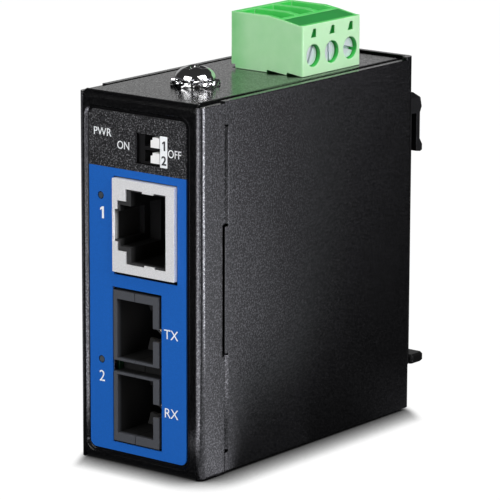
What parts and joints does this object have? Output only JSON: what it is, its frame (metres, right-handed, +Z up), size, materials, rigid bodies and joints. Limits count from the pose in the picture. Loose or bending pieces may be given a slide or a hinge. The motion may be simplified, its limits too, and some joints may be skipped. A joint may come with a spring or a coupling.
{
  "type": "fibre media converter",
  "caption": "Slim DIN-rail fibre media converter with shielded copper port, duplex SC fibre port, mode switches and plug-in screw terminal on top",
  "frame": {"origin": "centre of the case's flat bottom face, midway between the front panel and the back wall", "axes": "+X to the right seen from the front, +Y from the front panel to the rail side, +Z up"},
  "size_m": [0.0258, 0.0674, 0.0716],
  "materials": {
    "case_paint": "fine texture satin black powder coat",
    "label_film": "printed polyester film, blue with a black head",
    "black_plastic": "moulded black plastic",
    "module_plastic": "moulded dark grey plastic",
    "terminal_green": "moulded light green plastic",
    "cap_green": "moulded dark green plastic",
    "white_plastic": "moulded white plastic",
    "clear_plastic": "clear moulded light guide",
    "plated_steel": "bright plated",
    "black_steel": "black zinc",
    "contact_gold": "thin gold plate",
    "board_laminate": "green solder mask"
  },
  "bodies": {
    "converter": {"front_chassis": "case_paint", "rear_cover": "case_paint", "front_label": "label_film", "cover_screws": "black_steel", "ground_screw": "plated_steel", "star_washer": "plated_steel", "circuit_board": "board_laminate", "board_standoffs": "plated_steel", "board_screws": "plated_steel", "rj45_shield": "plated_steel", "rj45_insert": "black_plastic", "rj45_contacts": "contact_gold", "module_lower_shell": "module_plastic", "module_upper_shell": "module_plastic", "tx_latch": "module_plastic", "tx_barrel": "plated_steel", "tx_sleeve": "contact_gold", "rx_latch": "module_plastic", "rx_barrel": "plated_steel", "rx_sleeve": "contact_gold", "module_body": "module_plastic", "module_pins": "contact_gold", "switch_housing": "black_plastic", "switch_pins": "contact_gold", "power_light_pipe": "clear_plastic", "power_led": "white_plastic", "port_one_light_pipe": "clear_plastic", "port_one_led": "white_plastic", "port_two_light_pipe": "clear_plastic", "port_two_led": "white_plastic", "header_pins": "contact_gold", "terminal_header": "terminal_green", "din_bracket": "black_plastic", "bracket_screws": "plated_steel", "latch_spring": "plated_steel", "switch_chip": "black_plastic", "chip_leads": "plated_steel", "line_transformer": "black_plastic", "power_inductor": "black_plastic", "filter_capacitors": "plated_steel", "crystal": "plated_steel"},
    "lever_one": {"switch_lever_1": "white_plastic"},
    "lever_two": {"switch_lever_2": "white_plastic"},
    "rail_latch": {"din_latch": "black_plastic"},
    "power_plug": {"terminal_plug": "terminal_green", "terminal_cap": "cap_green", "plug_contacts": "contact_gold"},
    "clamp_screw_body_1": {"clamp_screw_1": "plated_steel"},
    "clamp_cage_body_1": {"clamp_cage_1": "plated_steel"},
    "clamp_screw_body_2": {"clamp_screw_2": "plated_steel"},
    "clamp_cage_body_2": {"clamp_cage_2": "plated_steel"},
    "clamp_screw_body_3": {"clamp_screw_3": "plated_steel"},
    "clamp_cage_body_3": {"clamp_cage_3": "plated_steel"}
  },
  "joints": [
    {"name": "lever_one_slide", "type": "slide", "parent": "converter", "child": "lever_one", "axis": [-1, 0, 0], "range_m": [0, 0.0019]},
    {"name": "lever_two_slide", "type": "slide", "parent": "converter", "child": "lever_two", "axis": [-1, 0, 0], "range_m": [0, 0.0019]},
    {"name": "rail_latch_slide", "type": "slide", "parent": "converter", "child": "rail_latch", "axis": [0, 0, -1], "range_m": [0, 0.0025], "stiffness_N_per_m": 600, "springref_m": -0.003, "deforming": ["latch_spring"]},
    {"name": "power_plug_slide", "type": "slide", "parent": "converter", "child": "power_plug", "axis": [0, 0, 1], "range_m": [0, 0.012]},
    {"name": "clamp_screw_turn_1", "type": "hinge", "parent": "power_plug", "child": "clamp_screw_body_1", "pos_m": [0.005, 0.00457, 0.0653], "axis": [-1, 0, 0], "range_deg": [0, 1440]},
    {"name": "clamp_cage_travel_1", "type": "slide", "parent": "power_plug", "child": "clamp_cage_body_1", "axis": [1, 0, 0], "range_m": [0, 0.0018]},
    {"name": "clamp_screw_turn_2", "type": "hinge", "parent": "power_plug", "child": "clamp_screw_body_2", "pos_m": [0.005, 0.00965, 0.0653], "axis": [-1, 0, 0], "range_deg": [0, 1440]},
    {"name": "clamp_cage_travel_2", "type": "slide", "parent": "power_plug", "child": "clamp_cage_body_2", "axis": [1, 0, 0], "range_m": [0, 0.0018]},
    {"name": "clamp_screw_turn_3", "type": "hinge", "parent": "power_plug", "child": "clamp_screw_body_3", "pos_m": [0.005, 0.01473, 0.0653], "axis": [-1, 0, 0], "range_deg": [0, 1440]},
    {"name": "clamp_cage_travel_3", "type": "slide", "parent": "power_plug", "child": "clamp_cage_body_3", "axis": [1, 0, 0], "range_m": [0, 0.0018]}
  ],
  "couplings": [
    {"joint": "clamp_screw_turn_1", "follows": "clamp_cage_travel_1", "rad_per_m": 13963},
    {"joint": "clamp_screw_turn_2", "follows": "clamp_cage_travel_2", "rad_per_m": 13963},
    {"joint": "clamp_screw_turn_3", "follows": "clamp_cage_travel_3", "rad_per_m": 13963}
  ]
}
